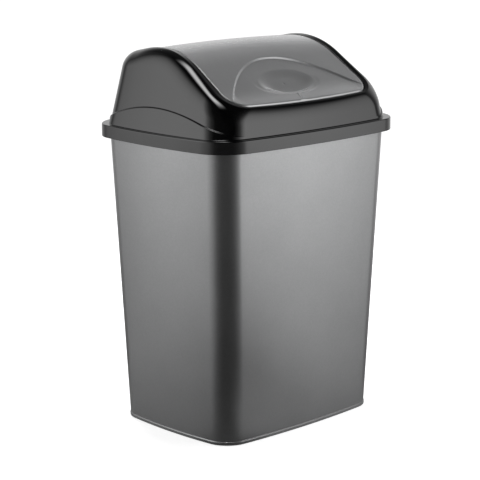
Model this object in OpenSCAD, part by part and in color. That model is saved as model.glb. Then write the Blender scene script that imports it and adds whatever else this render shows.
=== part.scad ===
// Countertop trash can with a swing lid. A tapered bucket stands on its foot, a drafted
// hood sits over the bucket's rim, and a sloping flap swings in the mouth of the hood.
// Millimetres. The origin is the middle of the underside, +Z is up, and the low front
// edge of the flap faces -Y.

/* [Bucket] */
// Outside width of the bucket at its foot
foot_w = 166; // [140:1:180]
// Outside depth of the bucket at its foot
foot_d = 125.6; // [100:0.2:136]
// Corner radius of the foot
foot_r = 15.2; // [8:0.2:30]
// How far each side of the foot bows out at its middle
foot_bow = 4.5; // [1:0.1:8]
// Outside width of the bucket's wall at the rim
rim_w = 188.1; // [170:0.1:230]
// Outside depth of the bucket's wall at the rim
rim_d = 144.4; // [136:0.1:190]
// Corner radius of the wall at the rim
rim_r = 15.2; // [8:0.2:30]
// How far each side of the rim bows out at its middle
rim_bow = 6.3; // [1:0.1:10]
// Height of the bucket
bucket_h = 227.4; // [120:0.2:320]
// Wall of the bucket
wall_t = 1.8; // [1.2:0.1:3]
// Floor of the bucket
floor_t = 2.2; // [1.5:0.1:5]
// How far the rolled rim stands out from the wall
rim_out = 3.6; // [2:0.1:6]
// Thickness of the rolled rim
rim_t = 2; // [1.5:0.1:4]
// Height of the bead round the foot
bead_h = 2.6; // [1.6:0.1:6]
// How far the bead stands out from the wall
bead_out = 0.5; // [0.2:0.1:1.5]

/* [Hood skirt and walls] */
// Clearance between the rolled rim and the inside of the skirt
skirt_gap = 0.6; // [0.3:0.1:2]
// Thickness of the skirt
skirt_t = 1.75; // [1.2:0.05:3]
// Height of the skirt band, from its lower edge to the ledge
skirt_h = 9.5; // [7:0.1:20]
// Clearance between the rim's top and the underside of the ledge
seat_gap = 0.2; // [0.1:0.05:0.5]
// Thickness of the hood's shell
shell_t = 2; // [1.4:0.1:3]
// Radius of the skirt's upper edge
skirt_edge_r = 0.9; // [0.3:0.1:1.5]
// Width of the ledge between the skirt and the hood's walls
ledge_w = 5.5; // [3:0.1:8]
// Lean of the hood's walls, in degrees from upright
draft = 9.3; // [4:0.1:14]
// Corner radius of the hood's walls at the ledge
hood_r = 19.5; // [12:0.5:26]
// How far each side of the hood bows out at its middle
hood_bow = 5.8; // [1:0.1:8]
// Depth of the locating rib that drops inside the bucket
rib_h = 9; // [5:0.5:20]
// Thickness of the locating rib
rib_t = 1.6; // [1.2:0.1:2.5]
// Clearance between the locating rib and the bucket's wall
rib_gap = 0.6; // [0.3:0.1:1.5]

/* [Side aprons] */
// How far the aprons stand out from the cheeks
apron_out = 1.5; // [0.5:0.1:2.5]
// Height of the apron's arch above the ledge, at its middle
apron_top = 17.5; // [10:0.5:19]
// Radius of the apron's arch
apron_arc_r = 148; // [110:1:240]
// Least height of the apron's edge above the ledge, where it runs out round the corners
apron_low = 1.4; // [1.3:0.1:2.5]

/* [Mouth profile, seen from the side] */
// Height of the mouth's front edge above the ledge
lip_rise = 20.4; // [18:0.2:30]
// Slope at the mouth's front edge, in degrees
toe_slope = 22.3; // [16:0.1:30]
// Radius of the hollow where the slope steepens
toe_r = 110; // [60:1:125]
// Slope of the straight part, in degrees
main_slope = 34; // [31:0.5:37]
// Distance of the ridge behind the middle of the bucket
ridge_y = 16; // [13:0.5:19]
// Radius over the ridge
ridge_r = 68; // [50:1:72]
// Fall behind the ridge, in degrees
tail_slope = 11.2; // [6:0.1:16]

/* [Mouth rim] */
// Width of the side rails at the mouth's front
rail_front = 17.8; // [16:0.1:24]
// Width of the side rails at the mouth's back
rail_back = 18.5; // [16:0.1:26]
// Width of the lip in front of the mouth
lip_w = 4.8; // [4.4:0.1:8]
// Width of the hood's top behind the mouth
tail_w = 13.2; // [11:0.1:18]
// Corner radius of the mouth
mouth_r = 11; // [5:0.5:14]
// How far the mouth's front and back edges bow out
mouth_bow = 3.4; // [0.5:0.1:6]
// Width of the land between the mouth and the crest of the side rails
land_side = 4.4; // [3:0.1:6]
// Width of the land in front of the mouth
land_front = 2.4; // [1.5:0.1:2.6]
// Width of the land behind the mouth
land_back = 4; // [2:0.1:6]
// How far the crest stands above the flap
crest_up = 0.8; // [0.4:0.1:2]
// How far the mouth's edge stands above the flap
edge_up = 0.3; // [0:0.1:0.8]
// Height of the rounding from the side rails to the cheeks
round_side = 12.5; // [8:0.5:13]
// Height of the rounding over the lip
round_front = 3.5; // [2.5:0.1:5]
// Height of the rounding at the back
round_back = 10; // [6:0.5:14]
// Depth of the flange that turns down inside the mouth
flange_h = 7; // [5:0.5:9]
// Thickness of that flange
flange_t = 1.8; // [1.2:0.1:2.4]

/* [Flap] */
// Gap between the flap and the edge of the mouth
flap_gap = 0.7; // [0.4:0.1:1.2]
// Thickness of the flap
flap_t = 1.8; // [1.2:0.1:2.6]
// Depth of the flap's turned-down edge
edge_h = 3; // [2.8:0.1:4]
// Rise of the flap's middle over its sides, at the ridge
crown = 1.5; // [0:0.1:3]
// Depth of the scoop under the arched crease
scoop_deep = 1; // [0.3:0.1:1.5]
// Distance from the flap's front edge to the top of the arched crease
arch_in = 45; // [38:0.5:48]
// Fall of the crease, out to half its span
arch_sag = 27; // [20:0.5:30]
// Span over which the crease falls by its sag
arch_span = 120; // [110:1:130]
// Width of the oval finger dish
dish_w = 58; // [40:1:70]
// Length of the finger dish up the slope
dish_l = 23; // [16:0.5:26]
// Depth of the finger dish
dish_deep = 1.6; // [0.5:0.1:2]
// Distance from the flap's front edge to the middle of the dish
dish_in = 23; // [20:0.5:25]

/* [Pivot] */
// Distance of the pivot in front of the middle of the bucket
pivot_fore = 14; // [11:0.5:18]
// Distance of the pivot below the flap's surface
pivot_drop = 8; // [7.5:0.1:10]
// Diameter of the flap's pivot pins
pin_d = 5; // [4:0.1:6]
// Clearance all round each pin
pin_gap = 0.06; // [0.02:0.01:0.1]
// Wall round each pivot bore
lug_wall = 3.4; // [2:0.1:4]
// Thickness of the hood's pivot lugs
lug_t = 2.6; // [2:0.1:4]
// Thickness of the flap's ears
ear_t = 2.6; // [2:0.1:4]
// Wall of each ear round its pivot pin
ear_wall = 2; // [1.4:0.1:2.4]
// How far each face of the ear's web lies inside the faces of its round end
web_in = 0.3; // [0.2:0.05:0.5]
// Distance of each ear's outer face inside the flap's edge
ear_in = 0.8; // [0.5:0.1:1.2]
// Width of each seat tab under the back of the flap
tab_w = 14; // [8:1:24]
// Distance between the middles of the two seat tabs
tab_pitch = 70; // [40:2:90]
// How far the seat tabs reach under the flap
tab_in = 4; // [2.5:0.5:7]
// Thickness of the seat tabs
tab_t = 1.8; // [1.2:0.1:3]
// Gap between the flap and the seat tabs
tab_gap = 0.2; // [0.1:0.05:0.4]

/* [Smoothness] */
// Steps round each corner
corner_steps = 9; // [5:1:12]
// Steps along each cheek
cheek_steps = 28; // [16:2:34]
// Steps along the front and the back
face_steps = 16; // [10:2:20]

/* [Hidden] */
$fn = 64;
EMBED = 0.5; // overlap that joins one solid to the next

// Heights
ledge_z = bucket_h + seat_gap + shell_t;
skirt_z = ledge_z - skirt_h;
lip_z = ledge_z + lip_rise;

// Half sizes of the hood at the ledge
skirt_a = rim_w / 2 + rim_out + skirt_gap + skirt_t;
skirt_b = rim_d / 2 + rim_out + skirt_gap + skirt_t;
skirt_r = rim_r + rim_out + skirt_gap + skirt_t;
hood_a = skirt_a - ledge_w;
hood_b = skirt_b - ledge_w;

// Side profile of the mouth: a hollow toe, a straight slope, a round ridge and a straight tail
lip_y = lip_w - hood_half(hood_b, lip_z);
toe_y = lip_y - toe_r * sin(toe_slope);
toe_z = lip_z + toe_r * cos(toe_slope);
slope_y = toe_y + toe_r * sin(main_slope);
slope_z = toe_z - toe_r * cos(main_slope);
brow_y = ridge_y - ridge_r * sin(main_slope);
brow_z = slope_z + (brow_y - slope_y) * tan(main_slope);
ridge_z = brow_z - ridge_r * cos(main_slope);
tail_y = ridge_y + ridge_r * sin(tail_slope);
tail_z = ridge_z + ridge_r * cos(tail_slope);

// Plan of the mouth
back_y = hood_half(hood_b, tail_z) - tail_w;
mouth_y = (lip_y + back_y) / 2;
mouth_b = (back_y - lip_y) / 2;
mouth_front_a = hood_half(hood_a, lip_z) - rail_front;
mouth_back_a = hood_half(hood_a, tail_z) - rail_back;
mouth_a = (mouth_front_a + mouth_back_a) / 2;

// Pivot and seat of the flap
pivot_y = -pivot_fore;
pivot_z = profile(pivot_y) - pivot_drop;
lug_x = mouth_half(pivot_y);
ear_x = lug_x - flap_gap - ear_in;
ear_r = pin_d / 2 + ear_wall;
bore_r = pin_d / 2 + pin_gap;
lug_r = bore_r + lug_wall;

// The surface that the flap and the crest follow, at a distance y from the middle
function profile(y) =
    y < slope_y ? toe_z - sqrt(toe_r * toe_r - pow(y - toe_y, 2)) :
    y < brow_y ? slope_z + (y - slope_y) * tan(main_slope) :
    y < tail_y ? ridge_z + sqrt(ridge_r * ridge_r - pow(y - ridge_y, 2)) :
    tail_z - (y - tail_y) * tan(tail_slope);

// Half size of the hood's walls at height z, from their half size at the ledge
function hood_half(half, z) = half - (z - ledge_z) * tan(draft);

// Half width of the mouth at a distance y from the middle
function mouth_half(y) =
    mouth_front_a + (mouth_back_a - mouth_front_a) * (y - lip_y) / (back_y - lip_y);

// ---- Stations round the plan ----
// A station is a corner's sides as two signs, or a share between them, and the angle
// that the outline faces there.
function steps(n) = [for (i = [0:1:n - 1]) i / n];
STATIONS = [
    for (t = steps(cheek_steps)) [1, 2 * t - 1, 0],
    for (t = steps(corner_steps)) [1, 1, 90 * t],
    for (t = steps(face_steps)) [1 - 2 * t, 1, 90],
    for (t = steps(corner_steps)) [-1, 1, 90 + 90 * t],
    for (t = steps(cheek_steps)) [-1, 1 - 2 * t, 180],
    for (t = steps(corner_steps)) [-1, -1, 180 + 90 * t],
    for (t = steps(face_steps)) [2 * t - 1, -1, 270],
    for (t = steps(corner_steps)) [1, -1, 270 + 90 * t]
];

// A value for each way that a station faces, blended round the corners
function blend(s, side, front, back) =
    side * pow(cos(s[2]), 2) + (sin(s[2]) < 0 ? front : back) * pow(sin(s[2]), 2);

// A station's point on a rounded rectangle of half sizes a and b
function rounded(s, a, b, r) =
    [s[0] * (a - r) + r * cos(s[2]), s[1] * (b - r) + r * sin(s[2])];

// The same with its sides bowed out, to half sizes a and b at their middles
function bowed(s, a, b, r, bow) =
    let (p = rounded(s, a - bow, b - bow, r))
    [
        p[0] + bow * p[0] / (a - bow) * (1 - pow(p[1] / (b - bow), 2)),
        p[1] + bow * p[1] / (b - bow) * (1 - pow(p[0] / (a - bow), 2))
    ];

function at(p, z) = [p[0], p[1], z];
function ring(a, b, r, bow, z) = [for (s = STATIONS) at(bowed(s, a, b, r, bow), z)];

// Skin over rings of equal length, listed so that the material lies to their left. Rings
// that don't loop are closed by a fan at each end.
module skin(rings, loop = false) {
    n = len(rings[0]);
    m = len(rings);
    middles = [middle(rings[0]), middle(rings[m - 1])];
    points = concat([for (r = rings) each r], loop ? [] : middles);
    walls = [
        for (i = [0:1:m - (loop ? 1 : 2)], j = [0:1:n - 1])
            let (k = (j + 1) % n, below = i * n, above = (i + 1) % m * n)
            each [[below + j, above + j, above + k], [below + j, above + k, below + k]]
    ];
    fans = loop ? [] : [
        for (j = [0:1:n - 1])
            let (k = (j + 1) % n, last = (m - 1) * n)
            each [[m * n, j, k], [m * n + 1, last + k, last + j]]
    ];
    polyhedron(points, concat(walls, fans), convexity = 8);
}

function middle(r) =
    let (n = len(r))
    [for (c = [0:1:2]) [for (p = r) p[c]] * [for (p = r) 1] / n];

// ---- Bucket ----
function along(low, high, z) = low + (high - low) * z / bucket_h;
function bucket_ring(z, off) = ring(
    along(foot_w, rim_w, z) / 2 + off,
    along(foot_d, rim_d, z) / 2 + off,
    along(foot_r, rim_r, z) + off,
    along(foot_bow, rim_bow, z),
    z);

module bucket() {
    bead = bead_h * 0.25;
    under = bucket_h - rim_t;
    color([0.68, 0.69, 0.70])
        skin([
            bucket_ring(0, -bead),
            bucket_ring(bead, bead_out * 0.7),
            bucket_ring(bead_h / 2, bead_out),
            bucket_ring(bead_h - bead * 0.6, bead_out),
            bucket_ring(bead_h, 0),
            for (t = [0.25:0.25:0.75]) bucket_ring(bead_h + (under - bead_h) * t, 0),
            bucket_ring(under, 0),
            bucket_ring(under, rim_out - bead),
            bucket_ring(under + rim_t / 2, rim_out),
            bucket_ring(bucket_h, rim_out - bead),
            bucket_ring(bucket_h, -wall_t),
            for (t = [0.75:-0.25:0.25]) bucket_ring(floor_t + (under - floor_t) * t, -wall_t),
            bucket_ring(floor_t + 2 * wall_t, -wall_t),
            bucket_ring(floor_t + 0.6 * wall_t, -1.6 * wall_t),
            bucket_ring(floor_t, -3 * wall_t)
        ]);
}

// ---- Hood ----
// Height of the apron's arched edge at a distance y from the middle of the cheek
function arch_z(y) = ledge_z + max(apron_low, apron_top - apron_arc_r + sqrt(apron_arc_r * apron_arc_r - y * y));

// A point on the hood's wall at height z
function wall_point(s, z, off) = at(
    bowed(s, hood_half(hood_a, z) + off, hood_half(hood_b, z) + off, hood_r + off, hood_bow), z);

// A point of the mouth's outline, moved outward by off and laid on the profile
function mouth_point(s, off, up) =
    let (
        b = mouth_b - mouth_bow,
        p = rounded(s, mouth_a + off, b + off, mouth_r + off),
        y = mouth_y + p[1] + mouth_bow * p[1] / b * (1 - pow(p[0] / mouth_a, 2)),
        x = p[0] * mouth_half(y) / mouth_a
    )
    [x, y, profile(y) + up];

// The crest of the rim round the mouth
function crest_point(s, up) = mouth_point(s, blend(s, land_side, land_front, land_back), up);

// The rounding from the crest at t = 0 to the wall at t = 1
function round_point(s, t, inset) =
    let (
        c = crest_point(s, crest_up - inset),
        reach = blend(s, round_side, round_front, round_back),
        k = wall_point(s, c[2], -inset),
        w = wall_point(s, c[2] - reach, -inset),
        u = 1 - t,
        weight = sqrt(0.5)
    )
    (u * u * c + 2 * weight * u * t * k + t * t * w) / (u * u + 2 * weight * u * t + t * t);

// The apron stands out on the cheeks and dies away round the corners
function apron(s) = apron_out * pow(abs(cos(s[2])), 1.5);
function apron_point(s, up, share) =
    let (
        foot = wall_point(s, ledge_z, 0),
        z = arch_z(foot[1]) + up
    )
    wall_point(s, z, apron(s) * share);

module hood_shell() {
    e = skirt_edge_r;
    under = ledge_z - shell_t;
    skin([
        ring(skirt_a, skirt_b, skirt_r, rim_bow, skirt_z),
        ring(skirt_a, skirt_b, skirt_r, rim_bow, ledge_z - e),
        ring(skirt_a - e * 0.3, skirt_b - e * 0.3, skirt_r - e * 0.3, rim_bow, ledge_z - e * 0.3),
        ring(skirt_a - e, skirt_b - e, skirt_r - e, rim_bow, ledge_z),
        [for (s = STATIONS) wall_point(s, ledge_z, apron(s) + 0.4)],
        [for (s = STATIONS) wall_point(s, ledge_z + 0.4, apron(s))],
        [for (s = STATIONS) apron_point(s, -apron_out * 0.5, 1)],
        [for (s = STATIONS) apron_point(s, 0, 0.7)],
        [for (s = STATIONS) apron_point(s, apron_out * 0.15, 0)],
        for (t = [1, 0.82, 0.66, 0.5, 0.34, 0.18, 0]) [for (s = STATIONS) round_point(s, t, 0)],
        [for (s = STATIONS) mouth_point(s, 0.5, edge_up)],
        [for (s = STATIONS) mouth_point(s, 0, edge_up - 0.5)],
        [for (s = STATIONS) mouth_point(s, 0, -mouth_depth(s))],
        [for (s = STATIONS) mouth_point(s, flange_t, -mouth_depth(s))],
        [for (s = STATIONS) mouth_point(s, flange_t, edge_up - shell_t)],
        for (t = [0.1, 0.4, 0.7, 1]) [for (s = STATIONS) round_point(s, t, shell_t)],
        [for (s = STATIONS) wall_point(s, under, -shell_t)],
        ring(skirt_a - skirt_t, skirt_b - skirt_t, skirt_r - skirt_t, rim_bow, under),
        ring(skirt_a - skirt_t, skirt_b - skirt_t, skirt_r - skirt_t, rim_bow, skirt_z)
    ], loop = true);
}

// Depth of the turned-down flange, which is shallow behind the lip
function mouth_depth(s) = blend(s, flange_h, shell_t + 0.6, flange_h);

// The rib that drops inside the bucket and keeps the hood in place. Its head joins the wall.
module locating_rib() {
    under = ledge_z - shell_t;
    low = under - rib_h;
    head = under + rib_h / 3;
    function rib_ring(z, inset) = ring(
        along(foot_w, rim_w, low) / 2 - wall_t - rib_gap - inset,
        along(foot_d, rim_d, low) / 2 - wall_t - rib_gap - inset,
        rim_r - wall_t - rib_gap - inset,
        along(foot_bow, rim_bow, low),
        z);
    function head_ring(z) = [for (s = STATIONS) wall_point(s, z, EMBED - shell_t)];
    skin([
        rib_ring(low, 0),
        rib_ring(under, 0),
        head_ring(under),
        head_ring(head),
        rib_ring(head, rib_t),
        rib_ring(low, rib_t)
    ], loop = true);
}

// A cylinder along X between two distances from the middle
module across(r, x1, x2, y = pivot_y, z = pivot_z) {
    translate([min(x1, x2), y, z]) rotate([0, 90, 0]) cylinder(r = r, h = abs(x2 - x1));
}

module seat_tabs() {
    y = back_y;
    z = profile(y) - flap_t - tab_gap;
    for (x = [-tab_pitch / 2, tab_pitch / 2])
        translate([x - tab_w / 2, y, z]) rotate([-tail_slope, 0, 0])
            translate([0, -tab_in, -tab_t]) cube([tab_w, tab_in + EMBED, tab_t]);
}

module hood() {
    color([0.17, 0.175, 0.18]) difference() {
        union() {
            hood_shell();
            locating_rib();
            for (side = [-1, 1]) across(lug_r, side * lug_x, side * (lug_x + lug_t));
            seat_tabs();
        }
        for (side = [-1, 1]) across(bore_r, side * (lug_x - 1), side * (lug_x + lug_t + 1));
    }
}

// ---- Flap ----
function smooth(t) = let (c = max(0, min(1, t))) c * c * (3 - 2 * c);

// Distance of the arched crease from the front, at x
function arch_y(x) = lip_y + flap_gap + arch_in - arch_sag * pow(2 * x / arch_span, 2);

// Relief of the flap's surface: the crowned ridge, the scoop under the crease and the dish
function relief(x, y) =
    let (
        rise = crown * (1 - pow(x / mouth_half(y), 2)) * smooth((y - brow_y) / (ridge_y - brow_y)),
        edge = smooth((y - lip_y) / 12) * smooth((mouth_half(y) - abs(x)) / 8),
        scoop = scoop_deep * smooth((arch_y(x) - y) / 4) * edge,
        q = pow(2 * x / dish_w, 2) + pow(2 * (y - lip_y - flap_gap - dish_in) / dish_l, 2),
        dish = dish_deep * smooth((1 - q) / 0.8)
    )
    rise - scoop - dish;

function flap_point(s, share, down) =
    let (
        p = mouth_point(s, -flap_gap, 0),
        x = p[0] * share,
        y = mouth_y + (p[1] - mouth_y) * share
    )
    [x, y, profile(y) + relief(x, y) - down];

module flap_panel() {
    skin([
        for (f = [0.1, 0.35, 0.6, 0.8, 0.94]) [for (s = STATIONS) flap_point(s, f, flap_t)],
        [for (s = STATIONS) flap_point(s, 0.97, flap_t)],
        [for (s = STATIONS) flap_point(s, 0.975, lip_turn(s))],
        [for (s = STATIONS) flap_point(s, 0.998, lip_turn(s))],
        [for (s = STATIONS) flap_point(s, 1, 0.6)],
        [for (s = STATIONS) flap_point(s, 0.992, 0)],
        for (f = [0.95, 0.9, 0.84, 0.77, 0.7, 0.62, 0.54, 0.46, 0.38, 0.3, 0.2, 0.1])
            [for (s = STATIONS) flap_point(s, f, 0)]
    ]);
}

// The flap's edge is turned down at its front and sides, and stays flat over the seat tabs
function lip_turn(s) = blend(s, edge_h, edge_h, flap_t + 0.01);

// Slope of the profile at y, where the pivot lies
function slope_at(y) = y < brow_y ? main_slope : asin((ridge_y - y) / ridge_r);

// An ear runs down from the flap to each pivot pin, with its head inside the flap's wall
module flap_ears() {
    head = profile(pivot_y) - flap_t / 2;
    web = 1.6 * ear_r;
    web_t = ear_t - 2 * web_in;
    for (side = [-1, 1]) {
        low_x = (side > 0 ? ear_x - ear_t : -ear_x) + web_in;
        across(ear_r, side * (ear_x - ear_t), side * ear_x);
        intersection() {
            translate([low_x, pivot_y - web / 2, pivot_z]) cube([web_t, web, 2 * pivot_drop]);
            translate([low_x, pivot_y, head]) rotate([slope_at(pivot_y), 0, 0])
                translate([0, -2 * pivot_drop, -2 * pivot_drop])
                    cube([web_t, 4 * pivot_drop, 2 * pivot_drop]);
        }
        across(pin_d / 2, side * (ear_x - EMBED), side * (lug_x + lug_t + 1));
    }
}

module flap() {
    color([0.50, 0.505, 0.51]) union() {
        flap_panel();
        flap_ears();
    }
}

bucket();
hood();
flap();
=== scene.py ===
"""Countertop trash can with a swing lid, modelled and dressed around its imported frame.

Z is up, the flap's low front edge faces -Y, and X runs along the flap's pivot. The sizes of
the mouldings are in millimetres, as in the part's source, and every mesh is in metres.
"""

import logging
import math
from collections.abc import Callable, Iterator, Sequence
from contextlib import contextmanager
from dataclasses import dataclass, field
from enum import Enum

import bmesh
import bpy
import numpy as np
from mathutils import Matrix, Vector


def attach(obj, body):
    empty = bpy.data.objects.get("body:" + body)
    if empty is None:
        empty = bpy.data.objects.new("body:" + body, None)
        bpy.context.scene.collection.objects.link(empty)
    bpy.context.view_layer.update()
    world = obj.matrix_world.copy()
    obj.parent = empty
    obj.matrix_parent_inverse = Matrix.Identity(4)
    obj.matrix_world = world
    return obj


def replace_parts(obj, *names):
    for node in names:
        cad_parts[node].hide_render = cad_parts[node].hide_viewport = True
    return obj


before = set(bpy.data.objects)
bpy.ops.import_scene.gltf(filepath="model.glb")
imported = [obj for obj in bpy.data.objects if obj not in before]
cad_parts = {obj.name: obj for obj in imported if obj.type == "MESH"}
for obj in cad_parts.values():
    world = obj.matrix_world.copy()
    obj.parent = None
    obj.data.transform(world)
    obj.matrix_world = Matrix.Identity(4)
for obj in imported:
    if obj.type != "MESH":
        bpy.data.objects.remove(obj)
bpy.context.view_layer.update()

log = logging.getLogger("trash_can")
MM = 0.001
Array = np.ndarray
Numbers = float | Array
Thing = bpy.types.Object
Socket = bpy.types.NodeSocket


class Body(Enum):
    """The part's bodies. Each has one CAD node and one material slot."""

    BUCKET = "bucket"
    HOOD = "hood"
    FLAP = "flap"

    @property
    def slot(self) -> str:
        """Returns the name of this body's material slot."""
        return f"{self.value}_plastic"


class Side(Enum):
    """The two sides of the can along X."""

    LEFT = -1
    RIGHT = 1


class Ends(Enum):
    """How a skin over rows of points is closed."""

    LOOP = "the last row joins the first"
    CAPS = "a fan closes each end"


# ---- Plan and side profile ----


@dataclass(frozen=True)
class Plan:
    """Stations round the can's plan: two cheeks, a front, a back and four corners.

    A station holds a share along X, a share along Y and the angle its outline faces.
    """

    cheek: int = 60
    corner: int = 18
    face: int = 48

    def stations(self) -> tuple[Array, Array, Array]:
        """Lists the stations, anticlockwise from the front end of the right cheek.

        Returns:
            The shares along X, the shares along Y and the angles in radians.
        """
        rows: list[tuple[float, float, float]] = []
        for turn, (sx, sy) in enumerate(((1, 1), (-1, 1), (-1, -1), (1, -1))):
            on_cheek = turn % 2 == 0
            count = self.cheek if on_cheek else self.face
            for t in np.arange(count) / count:
                run = 2 * t - 1
                rows.append((sx, run * sy, 90 * turn) if on_cheek else (run * sx, sy, 90 * turn))
            rows += [(sx, sy, 90 * (turn + t)) for t in np.arange(self.corner) / self.corner]
        table = np.array(rows, float)
        return table[:, 0], table[:, 1], np.radians(table[:, 2])


@dataclass(frozen=True)
class Outline:
    """A rounded rectangle whose four sides bow out, drawn over a plan's stations."""

    plan: Plan = Plan()

    def rounded(self, a: Numbers, b: Numbers, r: Numbers) -> tuple[Array, Array]:
        """Returns X and Y round a rectangle of half sizes a and b, with the corner radius r."""
        sx, sy, angle = self.plan.stations()
        return sx * (a - r) + r * np.cos(angle), sy * (b - r) + r * np.sin(angle)

    def bowed(self, a: Numbers, b: Numbers, r: Numbers, bow: float) -> tuple[Array, Array]:
        """Gives the same with its sides bowed out, to a and b at their middles.

        Args:
            a: Half its width, b: half its depth, r: its corner radius.
            bow: How far each side bows out at its middle.

        Returns:
            The points' X and Y.
        """
        x, y = self.rounded(a - bow, b - bow, r)
        u, v = x / (a - bow), y / (b - bow)
        return x + bow * u * (1 - v**2), y + bow * v * (1 - u**2)

    def ring(self, a: Numbers, b: Numbers, r: Numbers, bow: float, z: Numbers) -> Array:
        """Returns a bowed outline as an array of points at the height z."""
        x, y = self.bowed(a, b, r, bow)
        return np.column_stack([x, y, np.broadcast_to(z, x.shape)])

    def facing(self) -> Array:
        """Returns the angle that the outline faces at each station, in radians."""
        return self.plan.stations()[2]

    def blend(self, side: float, front: float, back: float) -> Array:
        """Returns side's value on the cheeks, then front's and back's, blended round the corners."""
        ends = np.where(np.sin(self.facing()) < 0, front, back)
        return side * np.cos(self.facing()) ** 2 + ends * np.sin(self.facing()) ** 2


@dataclass(frozen=True)
class SideProfile:
    """The curve that the flap and the rails follow: hollow toe, slope, ridge and tail."""

    lip_y: float
    lip_z: float
    toe_slope: float = 22.3
    toe_r: float = 110.0
    main_slope: float = 34.0
    ridge_y: float = 16.0
    ridge_r: float = 68.0
    tail_slope: float = 11.2

    def height(self, y: Array) -> Array:
        """Returns the curve's height at each distance y from the middle."""
        toe, main, tail = (math.radians(a) for a in (self.toe_slope, self.main_slope, self.tail_slope))
        toe_y = self.lip_y - self.toe_r * math.sin(toe)
        toe_z = self.lip_z + self.toe_r * math.cos(toe)
        slope_y = toe_y + self.toe_r * math.sin(main)
        slope_z = toe_z - self.toe_r * math.cos(main)
        brow_y = self.ridge_y - self.ridge_r * math.sin(main)
        ridge_z = slope_z + (brow_y - slope_y) * math.tan(main) - self.ridge_r * math.cos(main)
        tail_y = self.ridge_y + self.ridge_r * math.sin(tail)
        tail_z = ridge_z + self.ridge_r * math.cos(tail)
        hollow = toe_z - np.sqrt(np.maximum(self.toe_r**2 - (y - toe_y) ** 2, 0))
        crown = ridge_z + np.sqrt(np.maximum(self.ridge_r**2 - (y - self.ridge_y) ** 2, 0))
        slope = slope_z + (y - slope_y) * math.tan(main)
        fall = tail_z - (y - tail_y) * math.tan(tail)
        return np.select([y < slope_y, y < brow_y, y < tail_y], [hollow, slope, crown], fall)

    def brow_y(self) -> float:
        """Returns the distance y at which the ridge's curve begins."""
        return self.ridge_y - self.ridge_r * math.sin(math.radians(self.main_slope))

    def at(self, y: float) -> float:
        """Returns the curve's height at one distance y."""
        return float(self.height(np.array([y]))[0])

    def tail_height(self) -> float:
        """Returns the height at which the straight tail begins."""
        return self.at(self.ridge_y + self.ridge_r * math.sin(math.radians(self.tail_slope)))


def smooth(t: Array) -> Array:
    """Returns t eased from 0 to 1, and held outside that range."""
    c = np.clip(t, 0, 1)
    return c * c * (3 - 2 * c)


# ---- Modelling ----

DOUBLES = 2e-6  # Points closer than this, in metres, are merged.
SMOOTH_ANGLE = math.radians(35)  # Edges that turn less than this are shaded smooth.
SHARP_ANGLE = math.radians(50)  # Edges that turn more than this are bevelled.
FINE, SOFT = 0.25, 0.4  # Bevels' widths in millimetres.
OVER = 1.0  # How far a drill or a pin goes past what it has to reach, in millimetres.


@dataclass
class Row:
    """A closed row of points round a moulding, in millimetres.

    Attributes:
        points: One point for each station.
        soft: How far from the row its rounding starts, 0 for none.
        steps: How many steps the rounding has.
    """

    points: Array
    soft: float = 0.0
    steps: int = 4


def clear() -> None:
    """Leaves edit mode and deselects everything."""
    if bpy.context.object and bpy.context.object.mode != "OBJECT":
        bpy.ops.object.mode_set(mode="OBJECT")
    bpy.ops.object.select_all(action="DESELECT")


def pick(obj: Thing) -> None:
    """Selects obj alone and makes it active."""
    clear()
    obj.select_set(True)
    bpy.context.view_layer.objects.active = obj


@contextmanager
def editing(obj: Thing, kind: str = "VERT", action: str = "SELECT") -> Iterator[None]:
    """Puts one object in edit mode for a block of calls.

    Args:
        obj: The object, kind: VERT, EDGE or FACE, action: SELECT or DESELECT, for all of it.

    Yields:
        Nothing, once the object is ready.
    """
    pick(obj)
    bpy.ops.object.mode_set(mode="EDIT")
    bpy.ops.mesh.select_mode(type=kind)
    bpy.ops.mesh.select_all(action=action)
    yield
    bpy.ops.object.mode_set(mode="OBJECT")


def settle(obj: Thing, name: str) -> Thing:
    """Puts the object's place into its mesh, closes it, shades it and names it.

    Args:
        obj: The finished object, name: its name.

    Returns:
        The same object.
    """
    pick(obj)
    bpy.ops.object.transform_apply(location=True, rotation=True, scale=True)
    with editing(obj):
        bpy.ops.mesh.remove_doubles(threshold=DOUBLES)
        bpy.ops.mesh.normals_make_consistent(inside=False)
    bpy.ops.object.shade_smooth_by_angle(angle=SMOOTH_ANGLE)
    even = obj.modifiers.new("even_shading", "WEIGHTED_NORMAL")
    even.mode, even.weight, even.keep_sharp = "FACE_AREA", 50, True
    bpy.ops.object.modifier_apply(modifier=even.name)
    obj.name = obj.data.name = name
    return obj


def bevel_sharp(obj: Thing, width: float) -> None:
    """Bevels all of an object's sharp edges to a width in millimetres."""
    with editing(obj, "EDGE", "DESELECT"):
        bpy.ops.mesh.edges_select_sharp(sharpness=SHARP_ANGLE)
        bpy.ops.mesh.bevel(offset=width * MM, segments=3, affect="EDGES")


def boolean(obj: Thing, tool: Thing, operation: str) -> None:
    """Joins a tool to an object, or cuts it out, and removes the tool.

    Args:
        obj: The object that is changed, tool: the object used up.
        operation: UNION or DIFFERENCE.
    """
    pick(obj)
    cut = obj.modifiers.new(operation, "BOOLEAN")
    cut.object, cut.operation, cut.solver = tool, operation, "EXACT"
    bpy.ops.object.modifier_apply(modifier=cut.name)
    bpy.data.objects.remove(tool)


def rod(radius: float, x1: float, x2: float, y: float, z: float) -> Thing:
    """Adds a round rod along X.

    Args:
        radius: Its radius, x1 and x2: its two ends, y and z: its axis, in millimetres.

    Returns:
        The rod.
    """
    clear()
    bpy.ops.mesh.primitive_cylinder_add(
        vertices=64,
        radius=radius * MM,
        depth=abs(x2 - x1) * MM,
        location=((x1 + x2) / 2 * MM, y * MM, z * MM),
        rotation=(0, math.pi / 2, 0),
    )
    return bpy.context.object


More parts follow.
